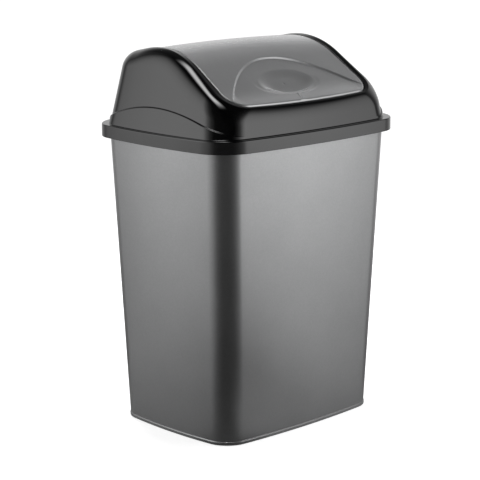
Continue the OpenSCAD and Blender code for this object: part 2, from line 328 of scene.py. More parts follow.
def box(middle: Sequence[float], size: Sequence[float], tilt: float = 0.0) -> Thing:
    """Adds a box.

    Args:
        middle: Its middle, size: its size along each axis, both in millimetres.
        tilt: How far it is turned about X, in degrees.

    Returns:
        The box.
    """
    clear()
    place, scale = ([value * MM for value in values] for values in (middle, size))
    turn = (math.radians(tilt), 0, 0)
    bpy.ops.mesh.primitive_cube_add(size=1, location=place, rotation=turn, scale=scale)
    bpy.ops.object.transform_apply(location=True, rotation=True, scale=True)
    return bpy.context.object


@dataclass
class Skin:
    """A skin that is extruded from row to row, as a moulding's section runs round it."""

    name: str
    rows: list[Row]
    ends: Ends

    def rounded_rows(self) -> list[Array]:
        """Returns the rows with the roundings of the soft ones filled in."""
        made: list[Array] = []
        count = len(self.rows)
        for i, row in enumerate(self.rows):
            inner = self.ends is Ends.LOOP or 0 < i < count - 1
            if not (row.soft and inner):
                made.append(row.points)
                continue
            arms = []
            for other in (self.rows[i - 1], self.rows[(i + 1) % count]):
                arm = other.points - row.points
                length = np.linalg.norm(arm, axis=1, keepdims=True)
                arms.append(arm / length * np.minimum(row.soft, 0.45 * length))
            for t in np.linspace(0, 1, row.steps + 1):
                made.append(row.points + arms[0] * (1 - t) ** 2 + arms[1] * t**2)
        return made

    @staticmethod
    def _place(obj: Thing, before: Array, after: Array) -> None:
        """Moves the selected copy of one row's points onto the next row.

        Args:
            obj: The object in edit mode, before: the row's points, after: the next row's.
        """
        mesh = bmesh.from_edit_mesh(obj.data)
        chosen = [v for v in mesh.verts if v.select]
        at = np.array([v.co for v in chosen])
        near = ((at[:, None, :] - before[None, :, :]) ** 2).sum(2).argmin(1)
        for vertex, k in zip(chosen, near):
            vertex.co = after[k]

    def build(self) -> Thing:
        """Extrudes the skin and closes it.

        Returns:
            The new object, at the origin.
        """
        rings = [r * MM for r in self.rounded_rows()]
        clear()
        bpy.ops.mesh.primitive_circle_add(vertices=len(rings[0]), fill_type="NOTHING")
        obj = bpy.context.object
        obj.data.vertices.foreach_set("co", rings[0].astype(np.float32).ravel())
        if self.ends is Ends.LOOP:
            rings.append(rings[0])
        with editing(obj):
            for before, after in zip(rings, rings[1:]):
                bpy.ops.mesh.extrude_region_move()
                self._place(obj, before, after)
            if self.ends is Ends.CAPS:
                bpy.ops.mesh.extrude_region_move()
                bpy.ops.mesh.merge(type="CENTER")
                bpy.ops.mesh.select_all(action="DESELECT")
                bpy.ops.mesh.select_non_manifold()
                bpy.ops.mesh.extrude_region_move()
                bpy.ops.mesh.merge(type="CENTER")
        return settle(obj, self.name)


# ---- Finishes ----


class Graph:
    """A tree of shading nodes, added and linked by short calls."""

    def __init__(self, tree: bpy.types.NodeTree) -> None:
        """Takes a tree to add to."""
        self.tree = tree

    def add(self, kind: str, *given: object, **settings: object) -> bpy.types.Node:
        """Adds a node.

        Args:
            kind: Its type without ShaderNode, given: values and links for its first inputs.
            settings: Its properties, or values and links for its inputs by name.

        Returns:
            The node.
        """
        node = self.tree.nodes.new(f"ShaderNode{kind}")
        for key, value in settings.items():
            if hasattr(node, key):
                setattr(node, key, value)
            else:
                self.feed(node.inputs[key.replace("_", " ")], value)
        for socket, value in zip(node.inputs, given):
            self.feed(socket, value)
        return node

    def feed(self, socket: Socket, value: object) -> None:
        """Sets an input to a value, or links it where the value is a socket."""
        if isinstance(value, Socket):
            self.tree.links.new(value, socket)
        else:
            socket.default_value = value

    def ramp(
        self, value: object, low: float, high: float, bottom: float, top: object, ease: str = "LINEAR"
    ) -> Socket:
        """Returns bottom to top for a value from low to high, with LINEAR or SMOOTHSTEP ease."""
        return self.add("MapRange", value, low, high, bottom, top, interpolation_type=ease).outputs[0]

    def math(self, operation: str, first: object, second: object = 0.0) -> Socket:
        """Adds one step of arithmetic on two values or sockets, and returns its result."""
        return self.add("Math", first, second, operation=operation).outputs[0]

    def dot(self, first: object, second: object) -> Socket:
        """Returns how far one vector reaches along another."""
        return self.add("VectorMath", first, second, operation="DOT_PRODUCT").outputs["Value"]

    def length(self, vector: object) -> Socket:
        """Returns a vector's length."""
        return self.add("VectorMath", vector, operation="LENGTH").outputs["Value"]

    def mix(self, share: object, first: object, second: object) -> Socket:
        """Mixes two values or two colours.

        Args:
            share: 0 for the first and 1 for the second, first, second: what is mixed.

        Returns:
            The mix.
        """
        colour = isinstance(first, tuple)
        node = self.add("Mix", share, data_type="RGBA" if colour else "FLOAT")
        at = 6 if colour else 2
        self.feed(node.inputs[at], first)
        self.feed(node.inputs[at + 1], second)
        return node.outputs[2 if colour else 0]

    def seen(self) -> Socket:
        """Tells the rays that show the background from others.

        Returns:
            1 for the camera's rays, gloss and glass, and 0 for others.
        """
        path = self.add("LightPath").outputs
        gloss = self.math("MAXIMUM", path["Is Camera Ray"], path["Is Glossy Ray"])
        return self.math("MAXIMUM", gloss, path["Is Transmission Ray"])


class Paint(Graph):
    """A material's nodes."""

    def __init__(self, name: str, **looks: object) -> None:
        """Makes a material with one Principled shader.

        Args:
            name: Its name, looks: values for the shader's inputs.
        """
        self.material = bpy.data.materials.new(name)
        self.material.use_nodes = True
        super().__init__(self.material.node_tree)
        self.place = self.add("TexCoord").outputs["Object"]
        self.set(**looks)

    def set(self, **looks: object) -> None:
        """Sets or links the shader's inputs."""
        shader = self.tree.nodes["Principled BSDF"]
        for key, value in looks.items():
            self.feed(shader.inputs[key.replace("_", " ")], value)

    def noise(self, scale: float, detail: float, stretch: Sequence[float] = (1, 1, 1)) -> Socket:
        """Returns noise with a scale in grains per metre, its octaves and its stretch."""
        place = self.add("Mapping", Vector=self.place, Scale=stretch).outputs[0]
        return self.add("TexNoise", Vector=place, Scale=scale, Detail=detail).outputs["Fac"]

    def spread(
        self, scale: float, detail: float, *ends: float, stretch: Sequence[float] = (1, 1, 1)
    ) -> Socket:
        """Returns noise that is read over a range, with the results at its ends."""
        return self.ramp(self.noise(scale, detail, stretch), *ends)

    def bump(self, height: object, depth: float, **under: object) -> Socket:
        """Returns a normal with relief of a depth in metres, over what Normal gives."""
        return self.add("Bump", Strength=1.0, Distance=depth, Height=height, **under).outputs[0]


@dataclass(frozen=True)
class Moulded:
    """A moulded plastic finish.

    Attributes:
        colour: Its base colour, other: the colour that it drifts and flecks towards.
        metallic: How much of it is metal pigment, specular: the shader's specular level.
        roughness: Its roughness, rough_drift: how far that drifts.
        grain: Grains of its fine texture per metre, grain_depth: their depth in metres.
        wave_depth: Depth in metres of the long waves that shrinking leaves.
        scuff: How strongly fine scratches show.
        flecks: Flecks for each grain, the range they are read over, and the results there.
        drift, rough_in, scratched, worn: Noises: grains per metre, octaves, range and results.
        scratch_way: How the scratches' noise is stretched, so that they run level.
        waves: The long waves' grains per metre and octaves.
    """

    name: str
    colour: tuple[float, float, float]
    other: tuple[float, float, float]
    metallic: float
    roughness: float
    rough_drift: float
    specular: float
    grain: float
    grain_depth: float
    wave_depth: float
    scuff: float
    flecks: tuple[float, ...] = (0.8, 0.2, 1.0, 0.0, 0.55)
    drift: tuple[float, ...] = (22, 3, 0.3, 0.7, 0.0, 0.45)
    rough_in: tuple[float, ...] = (35, 5, 0.35, 0.7)
    scratched: tuple[float, ...] = (90, 4, 0.66, 0.74, 0.0)
    scratch_way: tuple[float, ...] = (1.0, 1.0, 26.0)
    worn: tuple[float, ...] = (55, 3, 0.5, 0.75, 0.0, 1.0)
    waves: tuple[float, ...] = (28, 1)

    def material(self) -> bpy.types.Material:
        """Builds the finish.

        Returns:
            A material with colour, roughness and relief from its nodes.
        """
        paint = Paint(self.name, Metallic=self.metallic, Specular_IOR_Level=self.specular)
        share, *spread = self.flecks
        cells = paint.add("TexVoronoi", Vector=paint.place, Scale=self.grain * share).outputs["Color"]
        tints = paint.math("ADD", paint.ramp(cells, *spread), paint.spread(*self.drift))
        scratch = paint.spread(*self.scratched, self.scuff, stretch=self.scratch_way)
        marks = paint.math("MULTIPLY", scratch, paint.spread(*self.worn))
        low, high = self.roughness - self.rough_drift, self.roughness + self.rough_drift
        waves = paint.bump(paint.noise(*self.waves), self.wave_depth)
        paint.set(
            Base_Color=paint.mix(tints, (*self.colour, 1), (*self.other, 1)),
            Roughness=paint.math("ADD", paint.spread(*self.rough_in, low, high), marks),
            Normal=paint.bump(paint.noise(self.grain, 2), self.grain_depth, Normal=waves),
        )
        return paint.material


PEARL_GREY = Moulded(
    "satin_pearl_grey", colour=(0.38, 0.383, 0.387), other=(0.44, 0.443, 0.447), metallic=0.9,
    roughness=0.30, rough_drift=0.02, specular=0.5, grain=1500, grain_depth=6e-6, wave_depth=2e-5,
    scuff=0.05,
)
POLISHED_BLACK = Moulded(
    "polished_black", colour=(0.0028, 0.0029, 0.0032), other=(0.0045, 0.0046, 0.005), metallic=0.0,
    roughness=0.07, rough_drift=0.02, specular=0.9, grain=900, grain_depth=6e-7, wave_depth=1.5e-5,
    scuff=0.03,
)
SATIN_GREY = Moulded(
    "satin_mid_grey", colour=(0.43, 0.433, 0.438), other=(0.49, 0.493, 0.498), metallic=0.6,
    roughness=0.17, rough_drift=0.015, specular=0.5, grain=2200, grain_depth=8e-6, wave_depth=1.5e-5,
    scuff=0.05,
)


def dress(obj: Thing, material: bpy.types.Material, body: Body) -> Thing:
    """Gives a piece its material and its body.

    Args:
        obj: The piece, material: its finish, body: the body that it rides on.

    Returns:
        The same piece.
    """
    obj.data.materials.clear()
    obj.data.materials.append(material)
    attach(obj, body.value)
    body.slot
    log.info("%s rides on %s, %d faces", obj.name, body.value, len(obj.data.polygons))
    return obj


# ---- Bucket ----


@dataclass
class Bucket:
    """The tapered bucket with its foot bead and rolled rim.

    Attributes:
        foot, rim: Half the width and depth, the corner radius and the bow, below and above.
        bead_step: The height over which the bead steps back to the wall.
        hollow: How far the underside's middle is raised, hollow_in: where that slope lies.
        floor_in: How far the floor's edge lies inside the wall's inner face.
        plain: How far the wall's evenly spaced rows keep from the bead and the rim.
    """

    foot: tuple[float, float, float, float] = (83.0, 62.8, 15.2, 4.5)
    rim: tuple[float, float, float, float] = (94.05, 72.2, 15.2, 6.3)
    height: float = 227.4
    wall: float = 1.8
    floor: float = 2.2
    rim_out: float = 3.6
    rim_t: float = 2.0
    bead_h: float = 2.6
    bead_out: float = 0.5
    bead_step: float = 0.1
    hollow: float = 0.5
    hollow_in: tuple[float, float] = (9.0, 7.5)
    floor_in: float = 0.6
    plain: float = 14.0
    outline: Outline = field(default_factory=Outline)

    def ring(self, z: float, off: float, at: float | None = None) -> Array:
        """Returns the wall's outline at z, moved outward by off, and laid at z or at another height."""
        a, b, r, bow = (low + (high - low) * z / self.height for low, high in zip(self.foot, self.rim))
        return self.outline.ring(a + off, b + off, r + off, bow, z if at is None else at)

    def inner(self, z: float, share: float) -> Array:
        """Returns the floor's outline at the height z, shrunk to a share of its size."""
        return self.ring(z, -self.hollow_in[0]) * (share, share, 1)

    def shell(self) -> Thing:
        """Models the whole moulding.

        Returns:
            The bucket.
        """
        under = self.height - self.rim_t
        shares = (0.03, 0.3, 0.6, 0.9)
        waist = np.linspace(self.bead_h + self.plain, under - self.plain, 5)
        rows = [
            *[Row(self.inner(self.hollow, share)) for share in shares],
            Row(self.ring(self.hollow, -self.hollow_in[0]), 0.4),
            Row(self.ring(0.0, -self.hollow_in[1]), 0.4),
            Row(self.ring(0.0, self.bead_out), 0.9, 6),
            Row(self.ring(self.bead_h, self.bead_out), 0.7, 6),
            Row(self.ring(self.bead_h + self.bead_step, 0), 0.35, 4),
            *[Row(self.ring(z, 0)) for z in waist],
            Row(self.ring(under, 0), 0.8),
            Row(self.ring(under, self.rim_out), 0.7),
            Row(self.ring(self.height, self.rim_out), 0.7),
            Row(self.ring(self.height, -self.wall), 0.7),
            *[Row(self.ring(z, -self.wall)) for z in waist[::-1]],
            Row(self.ring(self.floor, -self.wall - self.floor_in), 4.0, 8),
            *[Row(self.inner(self.floor, share)) for share in shares[::-1]],
        ]
        return Skin("bucket_shell", rows, Ends.CAPS).build()

    def make(self) -> None:
        """Builds and dresses the bucket."""
        shell = dress(self.shell(), PEARL_GREY.material(), Body.BUCKET)
        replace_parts(shell, Body.BUCKET.value)


# ---- Hood ----


@dataclass
class Hood:
    """The hood that sits over the bucket's rim and holds the flap.

    Attributes:
        skirt: Half its width and depth, its corner radius and its bow, as the bucket's are.
        ledge_z: The ledge's height, ledge_w: its width, draft: the walls' slope in degrees.
        apron_*: How far the aprons stand out, their arch's top and radius, and its ends' height.
        land, rounding: The width of the rail's crest and the height of its outer rounding, on
            the cheeks, in front and behind, as in crest_up, knee_drop and edge_up.
        land_min: How far inside the shell the crest keeps outside the flange.
        mouth_r: The mouth's corner radius in front and behind.
        lip_turn: How far the front lip turns down past its own thickness.
        rail_reach: How far outside the mouth's edge the rail's bore ends.
        pivot_*, pin_*, lug_*: The flap's pivot, tab_*: the seat tabs under its back.
    """

    bucket: Bucket
    skirt: tuple[float, float, float, float] = (100.0, 78.15, 21.15, 6.3)
    ledge_z: float = 229.6
    skirt_h: float = 9.5
    skirt_t: float = 1.75
    shell_t: float = 2.0
    ledge_w: float = 5.5
    draft: float = 9.3
    corner_r: float = 19.5
    bow: float = 5.8
    rib_h: float = 9.0
    rib_t: float = 1.6
    rib_gap: float = 0.6
    apron_out: float = 1.5
    apron_power: float = 1.2
    apron_top: float = 17.5
    apron_r: float = 148.0
    apron_low: float = 1.0
    apron_ease: float = 2.4
    apron_edge: float = 0.1
    lip_rise: float = 20.4
    rail_front: float = 17.8
    rail_back: float = 18.5
    lip_w: float = 4.8
    tail_w: float = 13.2
    mouth_r: tuple[float, float] = (15.0, 11.0)
    mouth_bow: float = 3.4
    land: tuple[float, float, float] = (4.4, 1.6, 4.0)
    land_min: float = 0.5
    rounding: tuple[float, float, float] = (12.5, 11.4, 10.0)
    crest_up: tuple[float, float, float] = (0.8, -0.4, 0.8)
    knee_drop: tuple[float, float, float] = (0.0, 2.7, 0.0)
    edge_up: tuple[float, float, float] = (0.3, -0.2, 0.3)
    flange_h: float = 7.0
    flange_t: float = 1.8
    lip_turn: float = 0.6
    pivot_y: float = -14.0
    pivot_drop: float = 8.0
    pin_r: float = 2.5
    pin_gap: float = 0.06
    lug_wall: float = 3.4
    lug_t: float = 2.6
    rail_reach: float = 4.0
    tab_w: float = 14.0
    tab_pitch: float = 70.0
    tab_in: float = 4.0
    tab_t: float = 1.8
    tab_gap: float = 0.2
    tab_root: float = 0.5
    tab_up: float = 0.4
    flap_t: float = 1.8
    outline: Outline = field(default_factory=Outline)

    def __post_init__(self) -> None:
        """Works out the sizes that follow from the others."""
        self.half = (self.skirt[0] - self.ledge_w, self.skirt[1] - self.ledge_w)
        lip_z = self.ledge_z + self.lip_rise
        self.lip_y = self.lip_w - self.lean(self.half[1], lip_z)
        self.profile = SideProfile(self.lip_y, lip_z)
        tail_z = self.profile.tail_height()
        self.back_y = self.lean(self.half[1], tail_z) - self.tail_w
        self.mouth_y = (self.lip_y + self.back_y) / 2
        self.mouth_b = (self.back_y - self.lip_y) / 2
        self.mouth_ends = (
            self.lean(self.half[0], lip_z) - self.rail_front,
            self.lean(self.half[0], tail_z) - self.rail_back,
        )
        self.pivot_z = self.profile.at(self.pivot_y) - self.pivot_drop
        self.lug_x = self.mouth_half(self.pivot_y)
        self.bore_r = self.pin_r + self.pin_gap

    def lean(self, half: float, z: Numbers) -> Numbers:
        """Returns the walls' half size at the height z, from their half size at the ledge."""
        return half - (z - self.ledge_z) * math.tan(math.radians(self.draft))

    def mouth_half(self, y: Numbers) -> Numbers:
        """Returns the mouth's half width at each distance y from the middle."""
        front, back = self.mouth_ends
        return front + (back - front) * (y - self.lip_y) / (self.back_y - self.lip_y)

    def wall(self, z: Numbers, off: Numbers) -> Array:
        """Returns the wall's outline at the height or heights z, moved outward by off."""
        a, b = self.lean(self.half[0], z) + off, self.lean(self.half[1], z) + off
        return self.outline.ring(a, b, self.corner_r + off, self.bow, z)

    def mouth(self, off: Numbers, up: Numbers) -> Array:
        """Gives the mouth's outline on the side profile.

        Args:
            off: How far it is moved outward, up: how far it is raised.

        Returns:
            Its points.
        """
        a, b = sum(self.mouth_ends) / 2, self.mouth_b - self.mouth_bow
        front, back = self.mouth_r
        corner = front + (back - front) * (self.outline.plan.stations()[1] + 1) / 2
        x, dy = self.outline.rounded(a + off, b + off, corner + off)
        y = self.mouth_y + dy + self.mouth_bow * dy / b * (1 - (x / a) ** 2)
        return np.column_stack([x * self.mouth_half(y) / a, y, self.profile.height(y) + up])

    def shoulder(self, t: float, inset: float) -> Array:
        """Gives the rounding from the crest of the rails to the walls.

        Args:
            t: 0 on the crest and 1 on the wall, inset: how far inside the outer face it lies.

        Returns:
            Its points.
        """
        sizes = (self.land, self.crest_up, self.knee_drop, self.rounding)
        land, up, knee_drop, foot_drop = (self.outline.blend(*size) for size in sizes)
        if inset:
            land = np.maximum(land, self.flange_t + self.land_min)
        crest = self.mouth(land, up - inset)
        knee = self.wall(crest[:, 2] - knee_drop, -inset)
        foot = self.wall(crest[:, 2] - foot_drop, -inset)
        u, weight = 1 - t, math.sqrt(0.5)
        whole = u * u + 2 * weight * u * t + t * t
        return (u * u * crest + 2 * weight * u * t * knee + t * t * foot) / whole

    def stand_out(self) -> Array:
        """Returns how far the aprons stand out at each station."""
        return self.apron_out * np.abs(np.cos(self.outline.facing())) ** self.apron_power

    def apron(self, up: float, share: float) -> Array:
        """Gives a row along the arched edge of the aprons.

        Args:
            up: Its height over the edge, share: how much of the apron stands out there.

        Returns:
            Its points.
        """
        y = self.wall(self.ledge_z, 0.0)[:, 1]
        over = self.apron_top - self.apron_r + np.sqrt(self.apron_r**2 - y**2) - self.apron_low
        rise = self.apron_low + (over + np.hypot(over, self.apron_ease)) / 2
        return self.wall(self.ledge_z + rise + up, self.stand_out() * share)

    def skirt_ring(self, off: float, z: float) -> Array:
        """Returns the skirt's outline at the height z, moved outward by off."""
        a, b, r, bow = self.skirt
        return self.outline.ring(a + off, b + off, r + off, bow, z)

    def rib_ring(self, off: float, z: float) -> Array:
        """Returns the locating rib's outline at the height z, moved outward by off."""
        low = self.ledge_z - self.shell_t - self.rib_h
        return self.bucket.ring(low, off - self.bucket.wall - self.rib_gap, z)

    def shell(self) -> Thing:
        """Models the skin: skirt, ledge, aprons, rails, lip, flange and rib.

        Returns:
            The hood's shell.
        """
        z, under = self.ledge_z, self.ledge_z - self.shell_t
        depth = self.outline.blend(self.flange_h, self.shell_t + self.lip_turn, self.flange_h)
        edge = self.outline.blend(*self.edge_up)
        rib_low, rib_top = under - self.rib_h, under + self.rib_h / 3
        rows = [
            Row(self.skirt_ring(0, z - self.skirt_h), 0.4),
            Row(self.skirt_ring(0, z), 1.0, 6),
            Row(self.wall(z, self.stand_out()), 0.5),
            Row(self.apron(-self.apron_edge, 1), 0.8, 5),
            Row(self.apron(self.apron_edge, 0), 0.6, 4),
            *[Row(self.shoulder(t, 0)) for t in np.linspace(1, 0.02, 26)],
            Row(self.shoulder(0, 0), 0.5, 3),
            Row(self.mouth(0, edge), 0.5, 4),
            Row(self.mouth(0, -depth), 0.4),
            Row(self.mouth(self.flange_t, -depth), 0.4),
            Row(self.mouth(self.flange_t, edge - self.shell_t), 0.5),
            *[Row(self.shoulder(t, self.shell_t)) for t in np.linspace(0.1, 1, 10)],
            Row(self.wall(rib_top, -self.shell_t), 0.4),
            Row(self.rib_ring(-self.rib_t, rib_top), 0.3),
            Row(self.rib_ring(-self.rib_t, rib_low), 0.5),
            Row(self.rib_ring(0, rib_low), 0.5),
            Row(self.rib_ring(0, under), 0.5),
            Row(self.skirt_ring(-self.skirt_t, under), 0.4),
            Row(self.skirt_ring(-self.skirt_t, z - self.skirt_h), 0.4),
        ]
        return Skin("hood_shell", rows, Ends.LOOP).build()

    def bore(self, obj: Thing, side: Side, deep: float) -> None:
        """Cuts a side's pivot bore into an object, to a depth outside the mouth's edge."""
        x1, x2 = side.value * (self.lug_x - OVER), side.value * (self.lug_x + deep)
        boolean(obj, rod(self.bore_r, x1, x2, self.pivot_y, self.pivot_z), "DIFFERENCE")

    def lug(self, side: Side) -> Thing:
        """Models a pivot lug, a round boss with a bore.

        Args:
            side: The side that it is on.

        Returns:
            The lug.
        """
        x1, x2 = side.value * self.lug_x, side.value * (self.lug_x + self.lug_t)
        boss = rod(self.bore_r + self.lug_wall, x1, x2, self.pivot_y, self.pivot_z)
        self.bore(boss, side, self.lug_t + OVER)
        bevel_sharp(boss, FINE)
        return settle(boss, f"hood_lug_{side.name.lower()}")

    def tab(self, side: Side) -> Thing:
        """Models a seat tab under the back of the flap.

        Args:
            side: The side that it is on.

        Returns:
            The tab.
        """
        z = self.profile.at(self.back_y) - self.flap_t - self.tab_gap - self.tab_t / 2
        y = self.back_y - self.tab_in / 2 + self.tab_root / 2
        size = (self.tab_w, self.tab_in + self.tab_root, self.tab_t)
        middle = (side.value * self.tab_pitch / 2, y, z + self.tab_up)
        tab = box(middle, size, -self.profile.tail_slope)
        bevel_sharp(tab, SOFT)
        return settle(tab, f"hood_seat_{side.name.lower()}")

    def make(self) -> None:
        """Builds and dresses the hood."""
        black = POLISHED_BLACK.material()
        shell = self.shell()
        for side in Side:
            self.bore(shell, side, self.rail_reach)
        settle(shell, "hood_shell")
        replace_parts(dress(shell, black, Body.HOOD), Body.HOOD.value)
        for side in Side:
            dress(self.lug(side), black, Body.HOOD)
            dress(self.tab(side), black, Body.HOOD)


# ---- Flap ----


@dataclass
class Flap:
    """The flap that swings in the hood's mouth.

    Attributes:
        hood: The hood, gap: the room between its mouth and the flap, edge_h: the edge's height.
        edge_at: The shares of the outline where the edge's inner and outer faces lie.
        back_turn: How far the back edge turns down past the panel's thickness.
        crown: How much the ridge rises to its middle.
        proud: How far the front edge stands up, and the distance over which that fades.
        scoop: The drop at the crease, scoop_fade: where it fades at the lip and at the sides.
        crease_w: The crease's width, arch_*: its course.
        dish: The finger dish's width, length and depth, dish_in: its middle from the front.
        dish_wall: Where its wall starts, its width, and how much wider it is at the back.
        dish_lean: How much less deep its back is, as a share.
        dish_rim: A shallow step round it: depth, start and width, rim_back: where that ends.
        groove: The groove on its wall: place, width and depth, with where it ends.
        gate: The dimple that the mould's gate left: x, distance from the front, radius, depth.
        tick: A fine raised line: x and distance from the front at both ends.
        near, near_tick, on_tick: Where faces are cut finer: by the crease and the dish, round
            the tick, and on it.
        ear_*, web_*: The ears, and the web that joins each to the panel. pin_root: how deep
            the pin starts in its ear.
    """

    hood: Hood
    gap: float = 0.7
    edge_h: float = 3.0
    edge_at: tuple[float, float, float] = (0.974, 0.975, 0.999)
    back_turn: float = 0.01
    crown: float = 1.45
    proud: tuple[float, float] = (0.85, 48.0)
    scoop: float = 1.5
    scoop_fade: tuple[float, float] = (20.0, 14.0)
    crease_w: float = 1.0
    arch_in: float = 45.6
    arch_sag: float = 28.4
    arch_span: float = 120.0
    arch_power: float = 2.0
    dish: tuple[float, float, float] = (58.0, 24.0, 2.2)
    dish_wall: tuple[float, float, float] = (0.98, 0.8, 0.12)
    dish_in: float = 23.0
    dish_lean: float = 0.5
    dish_rim: tuple[float, float, float] = (0.35, 1.36, 0.3)
    rim_back: tuple[float, float] = (0.3, 0.6)
    groove: tuple[float, float, float] = (0.985, 0.03, 0.12)
    groove_back: tuple[float, float] = (0.12, 0.3)
    groove_end: tuple[float, float] = (13.0, 8.0)
    gate: tuple[float, float, float, float] = (-2.0, 23.5, 0.9, 0.3)
    tick: tuple[float, float, float, float] = (-1.0, 11.6, -4.5, 1.4)
    tick_w: float = 0.6
    tick_h: float = 0.4
    tick_ends: float = 8.0
    near: tuple[float, float, float] = (0.92, 2.4, 1.24)
    near_tick: tuple[float, float, float] = (4.0, 0.9, 13.0)
    on_tick: tuple[float, float] = (2.0, 0.15)
    ear_wall: float = 2.0
    ear_t: float = 2.6
    ear_in: float = 0.8
    web_in: float = 0.3
    web_top: float = 1.1
    web_w: float = 1.6
    web_lean: float = 4.0
    pin_root: float = 0.5

    def from_front(self, y: Array) -> Array:
        """Returns the distance from the panel's front edge for each distance y from the middle."""
        return y - self.hood.lip_y - self.gap

    def arch(self, x: Array) -> Array:
        """Returns the crease's distance y at each distance x from the middle."""
        rise = self.arch_in - self.arch_sag * np.abs(2 * x / self.arch_span) ** self.arch_power
        return self.hood.lip_y + self.gap + rise

    def in_dish(self, x: Array, y: Array) -> tuple[Array, Array]:
        """Returns how far out places lie, 1 on the dish's rim, and how far back, from -1 to 1."""
        back = 2 * (self.from_front(y) - self.dish_in) / self.dish[1]
        return np.hypot(2 * x / self.dish[0], back), back

    def marks(self, x: Array, y: Array) -> Array:
        """Gives the fine marks: the groove in the dish's front wall, the gate and the tick.

        Args:
            x, y: The places, in distances from the middle.

        Returns:
            How far they stand above the surface.
        """
        front = self.from_front(y)
        out, back = self.in_dish(x, y)
        at, spread, depth = self.groove
        behind, soft = self.groove_back
        end_x, fade = self.groove_end
        ends = smooth((-back - behind) / soft) * smooth((end_x - x) / fade)
        cut = depth * np.exp(-(((out - at) / spread) ** 2)) * ends
        gate_x, gate_in, gate_r, gate_h = self.gate
        dimple = gate_h * np.exp(-((x - gate_x) ** 2 + (front - gate_in) ** 2) / gate_r**2)
        x1, in1, x2, in2 = self.tick
        run = np.array([x2 - x1, in2 - in1])
        along = ((x - x1) * run[0] + (front - in1) * run[1]) / (run @ run)
        aside = ((x - x1) * run[1] - (front - in1) * run[0]) / np.sqrt(run @ run)
        ends = smooth(self.tick_ends * along) * smooth(self.tick_ends * (1 - along))
        ridge = self.tick_h * np.exp(-((aside / self.tick_w) ** 2)) * ends
        return ridge - cut - dimple

    def relief(self, x: Array, y: Array) -> Array:
        """Gives the panel's relief: the crowned ridge, the step at the crease and the dish.

        Args:
            x, y: The places, in distances from the middle.

        Returns:
            How far the surface stands above the side profile.
        """
        half = self.hood.mouth_half(y)
        brow = self.hood.profile.brow_y()
        rise = self.crown * (1 - (x / half) ** 2) * smooth((y - brow) / (self.hood.profile.ridge_y - brow))
        at_lip, at_side = self.scoop_fade
        edge = smooth((y - self.hood.lip_y) / at_lip) * smooth((half - np.abs(x)) / at_side)
        step = self.scoop * smooth((self.arch(x) - y) / self.crease_w) * edge
        out, back = self.in_dish(x, y)
        start, width, lean = self.dish_wall
        bowl = self.dish[2] * smooth((start - out**2) / (width + lean * back)) * (1 - self.dish_lean * back)
        depth, start, reach = self.dish_rim
        behind, soft = self.rim_back
        rim = depth * smooth((start - out**2) / reach) * smooth((behind - back) / soft)
        lift, fade = self.proud
        front = lift * (1 - smooth((y - self.hood.lip_y) / fade))
        return rise + front - step - bowl - rim + self.marks(x, y)

    def surface(self, x: Array, y: Array) -> Array:
        """Returns the height of the panel's upper face."""
        return self.hood.profile.height(y) + self.relief(x, y)

    def row(self, share: float, down: Numbers) -> Array:
        """Gives a row round the panel.

        Args:
            share: Its size as a share of the panel's outline, down: its depth below the surface.

        Returns:
            Its points.
        """
        edge = self.hood.mouth(-self.gap, 0)
        x = edge[:, 0] * share
        y = self.hood.mouth_y + (edge[:, 1] - self.hood.mouth_y) * share
        return np.column_stack([x, y, self.surface(x, y) - down])

    def panel(self) -> Thing:
        """Models the panel with its turned-down edge.

        Returns:
            The panel.
        """
        thick = self.hood.flap_t
        turn = self.hood.outline.blend(self.edge_h, self.edge_h, thick + self.back_turn)
        above, inside, outside = self.edge_at
        rows = [
            *[Row(self.row(f, thick)) for f in np.linspace(0.03, 0.96, 24)],
            Row(self.row(above, thick), 0.3),
            Row(self.row(inside, turn), 0.3),
            Row(self.row(outside, turn), 0.4),
            Row(self.row(1.0, 0), 1.2, 8),
            *[Row(self.row(f, 0)) for f in np.linspace(0.93, 0.02, 82)],
        ]
        return self.sharpen(Skin("flap_panel", rows, Ends.CAPS).build())

    def detailed(self, x: Array, y: Array, z: Array, fine: bool) -> Array:
        """Tells which places on the panel hold detail that its rows are too coarse for.

        Args:
            x, y, z: The places, fine: whether only the tick's detail counts.

        Returns:
            True or False for each place.
        """
        top = self.surface(x, y) - z < self.hood.flap_t / 2
        front = self.from_front(y)
        x1, in1, x2, in2 = self.tick
        along = (in1 - front) / (in1 - in2)
        if fine:
            aside, past = self.on_tick
            return top & (np.abs(x - x1 - (x2 - x1) * along) < aside) & (along > -past) & (along < 1 + past)
        half, by_crease, by_dish = self.near
        inside = self.hood.mouth_half(y) * half > np.abs(x)
        crease = np.abs(self.arch(x) - self.crease_w / 2 - y) < by_crease
        out, _ = self.in_dish(x, y)
        aside, first, last = self.near_tick
        tick = (np.abs(x - (x1 + x2) / 2) < aside) & (front > first) & (front < last)
        return top & inside & (crease | (out < by_dish) | tick)

    def sharpen(self, panel: Thing) -> Thing:
        """Cuts the panel finer along the crease, the dish and the tick, and forms it.

        Args:
            panel: The panel.

        Returns:
            The same panel.
        """
        for fine, cuts in ((False, 3), (True, 2)):
            with editing(panel, "FACE", "DESELECT"):
                mesh = bmesh.from_edit_mesh(panel.data)
                faces = list(mesh.faces)
                at = np.array([face.calc_center_median() for face in faces]) / MM
                for face, chosen in zip(faces, self.detailed(*at.T, fine)):
                    face.select = bool(chosen)
                bpy.ops.mesh.subdivide(number_cuts=cuts)
                mesh = bmesh.from_edit_mesh(panel.data)
                formed = [vertex for vertex in mesh.verts if vertex.select]
                x, y, _ = np.array([vertex.co for vertex in formed]).T / MM
                for vertex, height in zip(formed, self.surface(x, y) * MM):
                    vertex.co.z = height
        return settle(panel, panel.name)

